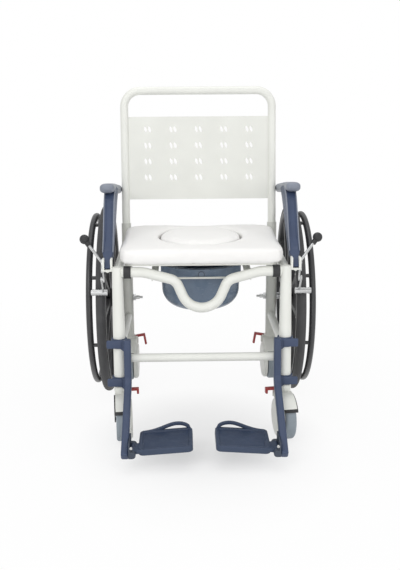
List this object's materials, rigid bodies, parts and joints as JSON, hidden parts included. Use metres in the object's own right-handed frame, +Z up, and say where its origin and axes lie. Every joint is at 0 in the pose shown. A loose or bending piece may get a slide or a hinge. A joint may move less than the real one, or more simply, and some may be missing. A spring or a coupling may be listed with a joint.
{
  "type": "shower_commode_chair",
  "caption": "Self-propelled shower commode chair with swing-up arms, swing-away footrests, soft seat over a removable pan, large rear wheels with hand rims and braked casters",
  "frame": {"origin": "on the floor under the middle of the chair's bounding box", "axes": "+Z up, +X to the right as seen from the front, +Y from the front of the chair to its back"},
  "size_m": [0.679, 0.935, 0.9625],
  "materials": {
    "white_paint": "gloss",
    "panel_white": "satin",
    "white_plastic": "satin",
    "black_plastic": "satin",
    "handrim_black": "satin",
    "dark_plastic": "satin",
    "bare_steel": "satin",
    "seat_foam": "satin",
    "pan_blue": "satin",
    "blue_plastic": "satin",
    "tyre_rubber": "matt",
    "grey_rubber": "matt",
    "red_plastic": "satin"
  },
  "bodies": {
    "frame": {"rear_uprights": "white_paint", "seat_rails": "white_paint", "front_legs": "white_paint", "lower_rails": "white_paint", "front_seat_tube": "white_paint", "front_cross_bar": "white_paint", "rear_cross_bar": "white_paint", "backrest_hoop": "white_paint", "pan_rails": "white_paint", "pan_rod": "white_paint", "backrest_panel": "panel_white", "seat_clips": "black_plastic", "arm_sockets": "bare_steel", "socket_screws": "white_plastic", "wheel_axles": "bare_steel", "axle_nuts": "bare_steel", "brake_brackets": "bare_steel", "arm_pivots": "black_plastic"},
    "wheel_left_body": {"wheel_left": "black_plastic", "tyre_left": "tyre_rubber", "handrim_left": "handrim_black"},
    "axle_button_left_body": {"axle_button_left": "black_plastic"},
    "arm_left_body": {"arm_left": "blue_plastic"},
    "brake_lever_left_body": {"brake_lever_left": "bare_steel", "brake_knob_left": "black_plastic"},
    "brake_shoe_left_body": {"brake_shoe_left": "bare_steel"},
    "hanger_left_body": {"hanger_left": "blue_plastic", "foot_hinge_left": "dark_plastic"},
    "footplate_left_body": {"footplate_left": "blue_plastic"},
    "wheel_right_body": {"wheel_right": "black_plastic", "tyre_right": "tyre_rubber", "handrim_right": "handrim_black"},
    "axle_button_right_body": {"axle_button_right": "black_plastic"},
    "arm_right_body": {"arm_right": "blue_plastic"},
    "brake_lever_right_body": {"brake_lever_right": "bare_steel", "brake_knob_right": "black_plastic"},
    "brake_shoe_right_body": {"brake_shoe_right": "bare_steel"},
    "hanger_right_body": {"hanger_right": "blue_plastic", "foot_hinge_right": "dark_plastic"},
    "footplate_right_body": {"footplate_right": "blue_plastic"},
    "caster_fl_body": {"caster_hood_fl": "white_plastic", "caster_yoke_fl": "black_plastic"},
    "caster_wheel_fl_body": {"caster_wheel_fl": "grey_rubber"},
    "caster_pedal_fl_body": {"caster_pedal_fl": "red_plastic"},
    "caster_fr_body": {"caster_hood_fr": "white_plastic", "caster_yoke_fr": "black_plastic"},
    "caster_wheel_fr_body": {"caster_wheel_fr": "grey_rubber"},
    "caster_pedal_fr_body": {"caster_pedal_fr": "red_plastic"},
    "caster_rl_body": {"caster_hood_rl": "white_plastic", "caster_yoke_rl": "black_plastic"},
    "caster_wheel_rl_body": {"caster_wheel_rl": "grey_rubber"},
    "caster_pedal_rl_body": {"caster_pedal_rl": "red_plastic"},
    "caster_rr_body": {"caster_hood_rr": "white_plastic", "caster_yoke_rr": "black_plastic"},
    "caster_wheel_rr_body": {"caster_wheel_rr": "grey_rubber"},
    "caster_pedal_rr_body": {"caster_pedal_rr": "red_plastic"},
    "seat_body": {"seat_board": "black_plastic", "seat_cushion": "seat_foam"},
    "plug_body": {"seat_plug": "seat_foam"},
    "pan_body": {"commode_pan": "pan_blue"}
  },
  "joints": [
    {"name": "seat_lift", "type": "slide", "parent": "frame", "child": "seat_body", "axis": [0, 0, 1], "range_m": [0, 0.25]},
    {"name": "plug_lift", "type": "slide", "parent": "seat_body", "child": "plug_body", "axis": [0, 0, 1], "range_m": [0, 0.12]},
    {"name": "pan_slide", "type": "slide", "parent": "frame", "child": "pan_body", "axis": [0, 1, 0], "range_m": [0, 0.33]},
    {"name": "wheel_left_spin", "type": "hinge", "parent": "frame", "child": "wheel_left_body", "pos_m": [-0.293, 0.1675, 0.3], "axis": [1, 0, 0], "continuous": true},
    {"name": "axle_button_left_press", "type": "slide", "parent": "frame", "child": "axle_button_left_body", "axis": [1, 0, 0], "range_m": [0, 0.004], "stiffness_N_per_m": 400, "springref_m": -0.002},
    {"name": "arm_left_swing", "type": "hinge", "parent": "frame", "child": "arm_left_body", "pos_m": [-0.2597, 0.19673, 0.64796], "axis": [-1, 0, 0], "range_deg": [0, 100]},
    {"name": "brake_lever_left_pull", "type": "hinge", "parent": "frame", "child": "brake_lever_left_body", "pos_m": [-0.27815, -0.18171, 0.47357], "axis": [1, 0, 0], "range_deg": [0, 40]},
    {"name": "brake_shoe_left_press", "type": "hinge", "parent": "frame", "child": "brake_shoe_left_body", "pos_m": [-0.2815, -0.1697, 0.44457], "axis": [1, 0, 0], "range_deg": [0, 4.4]},
    {"name": "hanger_left_swing", "type": "hinge", "parent": "frame", "child": "hanger_left_body", "pos_m": [-0.232, -0.2325, 0.14], "axis": [0, -0.0523, -0.9986], "range_deg": [0, 90]},
    {"name": "footplate_left_flip", "type": "hinge", "parent": "hanger_left_body", "child": "footplate_left_body", "pos_m": [-0.188, -0.4305, 0.049], "axis": [0, -1, 0], "range_deg": [0, 70]},
    {"name": "wheel_right_spin", "type": "hinge", "parent": "frame", "child": "wheel_right_body", "pos_m": [0.293, 0.1675, 0.3], "axis": [1, 0, 0], "continuous": true},
    {"name": "axle_button_right_press", "type": "slide", "parent": "frame", "child": "axle_button_right_body", "axis": [-1, 0, 0], "range_m": [0, 0.004], "stiffness_N_per_m": 400, "springref_m": -0.002},
    {"name": "arm_right_swing", "type": "hinge", "parent": "frame", "child": "arm_right_body", "pos_m": [0.2597, 0.19673, 0.64796], "axis": [-1, 0, 0], "range_deg": [0, 100]},
    {"name": "brake_lever_right_pull", "type": "hinge", "parent": "frame", "child": "brake_lever_right_body", "pos_m": [0.27815, -0.18171, 0.47357], "axis": [1, 0, 0], "range_deg": [0, 40]},
    {"name": "brake_shoe_right_press", "type": "hinge", "parent": "frame", "child": "brake_shoe_right_body", "pos_m": [0.2815, -0.1697, 0.44457], "axis": [1, 0, 0], "range_deg": [0, 4.4]},
    {"name": "hanger_right_swing", "type": "hinge", "parent": "frame", "child": "hanger_right_body", "pos_m": [0.232, -0.2325, 0.14], "axis": [0, 0.0523, 0.9986], "range_deg": [0, 90]},
    {"name": "footplate_right_flip", "type": "hinge", "parent": "hanger_right_body", "child": "footplate_right_body", "pos_m": [0.188, -0.4305, 0.049], "axis": [0, 1, 0], "range_deg": [0, 70]},
    {"name": "caster_fl_swivel", "type": "hinge", "parent": "frame", "child": "caster_fl_body", "pos_m": [-0.232, -0.2325, 0.14], "axis": [0, 0, 1], "continuous": true},
    {"name": "caster_wheel_fl_roll", "type": "hinge", "parent": "caster_fl_body", "child": "caster_wheel_fl_body", "pos_m": [-0.22973, -0.2584, 0.0625], "axis": [-0.9962, -0.0872, 0], "continuous": true},
    {"name": "caster_pedal_fl_press", "type": "hinge", "parent": "caster_fl_body", "child": "caster_pedal_fl_body", "pos_m": [-0.20931, -0.21646, 0.131], "axis": [-0.0872, 0.9962, 0], "range_deg": [0, 15]},
    {"name": "caster_fr_swivel", "type": "hinge", "parent": "frame", "child": "caster_fr_body", "pos_m": [0.232, -0.2325, 0.14], "axis": [0, 0, 1], "continuous": true},
    {"name": "caster_wheel_fr_roll", "type": "hinge", "parent": "caster_fr_body", "child": "caster_wheel_fr_body", "pos_m": [0.23562, -0.25825, 0.0625], "axis": [-0.9903, -0.1392, 0], "continuous": true},
    {"name": "caster_pedal_fr_press", "type": "hinge", "parent": "caster_fr_body", "child": "caster_pedal_fr_body", "pos_m": [0.20628, -0.22198, 0.131], "axis": [0.1392, -0.9903, 0], "range_deg": [0, 15]},
    {"name": "caster_rl_swivel", "type": "hinge", "parent": "frame", "child": "caster_rl_body", "pos_m": [-0.232, 0.1675, 0.17], "axis": [0, 0, 1], "range_deg": [-16, 130]},
    {"name": "caster_wheel_rl_roll", "type": "hinge", "parent": "caster_rl_body", "child": "caster_wheel_rl_body", "pos_m": [-0.232, 0.1415, 0.0925], "axis": [-1, 0, 0], "continuous": true},
    {"name": "caster_pedal_rl_press", "type": "hinge", "parent": "caster_rl_body", "child": "caster_pedal_rl_body", "pos_m": [-0.208, 0.1815, 0.161], "axis": [0, 1, 0], "range_deg": [0, 15]},
    {"name": "caster_rr_swivel", "type": "hinge", "parent": "frame", "child": "caster_rr_body", "pos_m": [0.232, 0.1675, 0.17], "axis": [0, 0, 1], "range_deg": [-132, 14]},
    {"name": "caster_wheel_rr_roll", "type": "hinge", "parent": "caster_rr_body", "child": "caster_wheel_rr_body", "pos_m": [0.23291, 0.14152, 0.0925], "axis": [-0.9994, -0.0349, 0], "continuous": true},
    {"name": "caster_pedal_rr_press", "type": "hinge", "parent": "caster_rr_body", "child": "caster_pedal_rr_body", "pos_m": [0.20753, 0.18065, 0.161], "axis": [0.0349, -0.9994, 0], "range_deg": [0, 15]}
  ],
  "couplings": [
    {"joint": "brake_shoe_left_press", "follows": "brake_lever_left_pull", "ratio": 0.11},
    {"joint": "brake_shoe_right_press", "follows": "brake_lever_right_pull", "ratio": 0.11}
  ]
}
